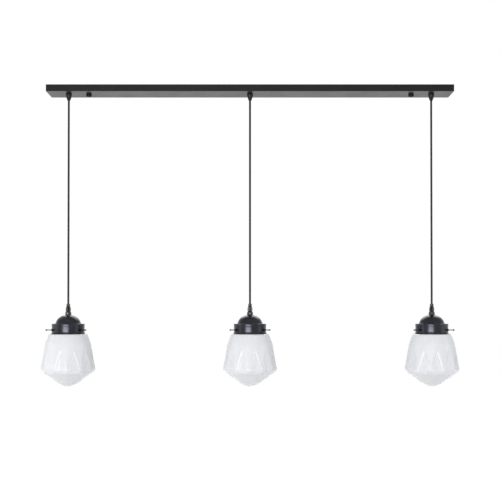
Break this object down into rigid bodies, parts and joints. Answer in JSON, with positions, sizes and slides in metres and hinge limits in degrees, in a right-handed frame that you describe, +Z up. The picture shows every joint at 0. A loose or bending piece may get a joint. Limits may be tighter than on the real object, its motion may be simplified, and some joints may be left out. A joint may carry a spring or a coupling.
{
  "type": "linear island pendant light",
  "caption": "Linear pendant light: a flat black ceiling bar with faceted opal glass shades on straight black cords, each glass held in a domed gallery by thumb screws.",
  "frame": {"origin": "centre of the ceiling bar on the ceiling plane, midway between the slotted fixing holes", "axes": "+Z up into the ceiling, +X along the bar to the right, -Y towards the viewer"},
  "size_m": [1.2384, 0.1584, 0.8887],
  "materials": {
    "satin_black_coat": "satin powder coat",
    "bronze_black_coat": "satin black with a slight bronze cast",
    "bright_nickel": "bright nickel plate",
    "zinc_plate": "bright zinc plate",
    "opal_glass": "polished opal glass",
    "black_cord": "smooth extruded sheath",
    "black_moulding": "moulded thermoset",
    "brass": "pressed and plated",
    "bulb_white": "frosted globe",
    "terminal_white": "moulded nylon",
    "live_brown": "extruded insulation",
    "neutral_blue": "extruded insulation",
    "earth_green_yellow": "extruded insulation"
  },
  "bodies": {
    "bar": {"ceiling_bar": "satin_black_coat", "left_bracket": "zinc_plate", "right_bracket": "zinc_plate", "fixing_screws": "zinc_plate", "fixing_nuts": "zinc_plate", "grip_nuts": "zinc_plate", "terminal_block": "terminal_white", "terminal_screws": "zinc_plate", "earth_wires": "earth_green_yellow", "neutral_wires": "neutral_blue", "live_wires": "live_brown", "earth_stud": "zinc_plate", "earth_nut": "brass", "left_cord_grip": "satin_black_coat", "left_cord_tail": "black_cord", "middle_cord_grip": "satin_black_coat", "middle_cord_tail": "black_cord", "right_cord_grip": "satin_black_coat", "right_cord_tail": "black_cord"},
    "left_cap_nut": {"left_cap_nut": "satin_black_coat"},
    "right_cap_nut": {"right_cap_nut": "satin_black_coat"},
    "left_cord_bend": {"left_cord_top": "black_cord"},
    "left_lamp": {"left_cord": "black_cord", "left_cord_clamp": "satin_black_coat", "left_clamp_screw": "bright_nickel", "left_nipple": "zinc_plate", "left_gallery": "bronze_black_coat", "left_lampholder": "black_moulding", "left_lampholder_shell": "brass", "left_shade": "opal_glass"},
    "left_bulb": {"left_bulb": "bulb_white"},
    "left_thumb_screw_a": {"left_thumb_screw_a": "bronze_black_coat"},
    "left_thumb_screw_b": {"left_thumb_screw_b": "bronze_black_coat"},
    "left_thumb_screw_c": {"left_thumb_screw_c": "bronze_black_coat"},
    "middle_cord_bend": {"middle_cord_top": "black_cord"},
    "middle_lamp": {"middle_cord": "black_cord", "middle_cord_clamp": "satin_black_coat", "middle_clamp_screw": "bright_nickel", "middle_nipple": "zinc_plate", "middle_gallery": "bronze_black_coat", "middle_lampholder": "black_moulding", "middle_lampholder_shell": "brass", "middle_shade": "opal_glass"},
    "middle_bulb": {"middle_bulb": "bulb_white"},
    "middle_thumb_screw_a": {"middle_thumb_screw_a": "bronze_black_coat"},
    "middle_thumb_screw_b": {"middle_thumb_screw_b": "bronze_black_coat"},
    "middle_thumb_screw_c": {"middle_thumb_screw_c": "bronze_black_coat"},
    "right_cord_bend": {"right_cord_top": "black_cord"},
    "right_lamp": {"right_cord": "black_cord", "right_cord_clamp": "satin_black_coat", "right_clamp_screw": "bright_nickel", "right_nipple": "zinc_plate", "right_gallery": "bronze_black_coat", "right_lampholder": "black_moulding", "right_lampholder_shell": "brass", "right_shade": "opal_glass"},
    "right_bulb": {"right_bulb": "bulb_white"},
    "right_thumb_screw_a": {"right_thumb_screw_a": "bronze_black_coat"},
    "right_thumb_screw_b": {"right_thumb_screw_b": "bronze_black_coat"},
    "right_thumb_screw_c": {"right_thumb_screw_c": "bronze_black_coat"}
  },
  "joints": [
    {"name": "left_cap_nut_unscrew", "type": "slide", "parent": "bar", "child": "left_cap_nut", "axis": [0, 0, -1], "range_m": [0, 0.005]},
    {"name": "right_cap_nut_unscrew", "type": "slide", "parent": "bar", "child": "right_cap_nut", "axis": [0, 0, -1], "range_m": [0, 0.005]},
    {"name": "left_swing_front_back", "type": "hinge", "parent": "bar", "child": "left_cord_bend", "pos_m": [-0.54, 0, -0.0383], "axis": [1, 0, 0], "range_deg": [-12, 12], "deforming": ["left_cord_top"]},
    {"name": "left_swing_sideways", "type": "hinge", "parent": "left_cord_bend", "child": "left_lamp", "pos_m": [-0.54, 0, -0.0383], "axis": [0, 1, 0], "range_deg": [-12, 12], "deforming": ["left_cord_top"]},
    {"name": "left_bulb_unscrew", "type": "slide", "parent": "left_lamp", "child": "left_bulb", "axis": [0, 0, -1], "range_m": [0, 0.022]},
    {"name": "left_thumb_screw_a_back_off", "type": "slide", "parent": "left_lamp", "child": "left_thumb_screw_a", "axis": [-0.866, -0.5, 0], "range_m": [0, 0.004]},
    {"name": "left_thumb_screw_b_back_off", "type": "slide", "parent": "left_lamp", "child": "left_thumb_screw_b", "axis": [0.866, -0.5, 0], "range_m": [0, 0.004]},
    {"name": "left_thumb_screw_c_back_off", "type": "slide", "parent": "left_lamp", "child": "left_thumb_screw_c", "axis": [0, 1, 0], "range_m": [0, 0.004]},
    {"name": "middle_swing_front_back", "type": "hinge", "parent": "bar", "child": "middle_cord_bend", "pos_m": [0, 0, -0.0383], "axis": [1, 0, 0], "range_deg": [-12, 12], "deforming": ["middle_cord_top"]},
    {"name": "middle_swing_sideways", "type": "hinge", "parent": "middle_cord_bend", "child": "middle_lamp", "pos_m": [0, 0, -0.0383], "axis": [0, 1, 0], "range_deg": [-12, 12], "deforming": ["middle_cord_top"]},
    {"name": "middle_bulb_unscrew", "type": "slide", "parent": "middle_lamp", "child": "middle_bulb", "axis": [0, 0, -1], "range_m": [0, 0.022]},
    {"name": "middle_thumb_screw_a_back_off", "type": "slide", "parent": "middle_lamp", "child": "middle_thumb_screw_a", "axis": [-0.866, -0.5, 0], "range_m": [0, 0.004]},
    {"name": "middle_thumb_screw_b_back_off", "type": "slide", "parent": "middle_lamp", "child": "middle_thumb_screw_b", "axis": [0.866, -0.5, 0], "range_m": [0, 0.004]},
    {"name": "middle_thumb_screw_c_back_off", "type": "slide", "parent": "middle_lamp", "child": "middle_thumb_screw_c", "axis": [0, 1, 0], "range_m": [0, 0.004]},
    {"name": "right_swing_front_back", "type": "hinge", "parent": "bar", "child": "right_cord_bend", "pos_m": [0.54, 0, -0.0383], "axis": [1, 0, 0], "range_deg": [-12, 12], "deforming": ["right_cord_top"]},
    {"name": "right_swing_sideways", "type": "hinge", "parent": "right_cord_bend", "child": "right_lamp", "pos_m": [0.54, 0, -0.0383], "axis": [0, 1, 0], "range_deg": [-12, 12], "deforming": ["right_cord_top"]},
    {"name": "right_bulb_unscrew", "type": "slide", "parent": "right_lamp", "child": "right_bulb", "axis": [0, 0, -1], "range_m": [0, 0.022]},
    {"name": "right_thumb_screw_a_back_off", "type": "slide", "parent": "right_lamp", "child": "right_thumb_screw_a", "axis": [-0.866, -0.5, 0], "range_m": [0, 0.004]},
    {"name": "right_thumb_screw_b_back_off", "type": "slide", "parent": "right_lamp", "child": "right_thumb_screw_b", "axis": [0.866, -0.5, 0], "range_m": [0, 0.004]},
    {"name": "right_thumb_screw_c_back_off", "type": "slide", "parent": "right_lamp", "child": "right_thumb_screw_c", "axis": [0, 1, 0], "range_m": [0, 0.004]}
  ]
}
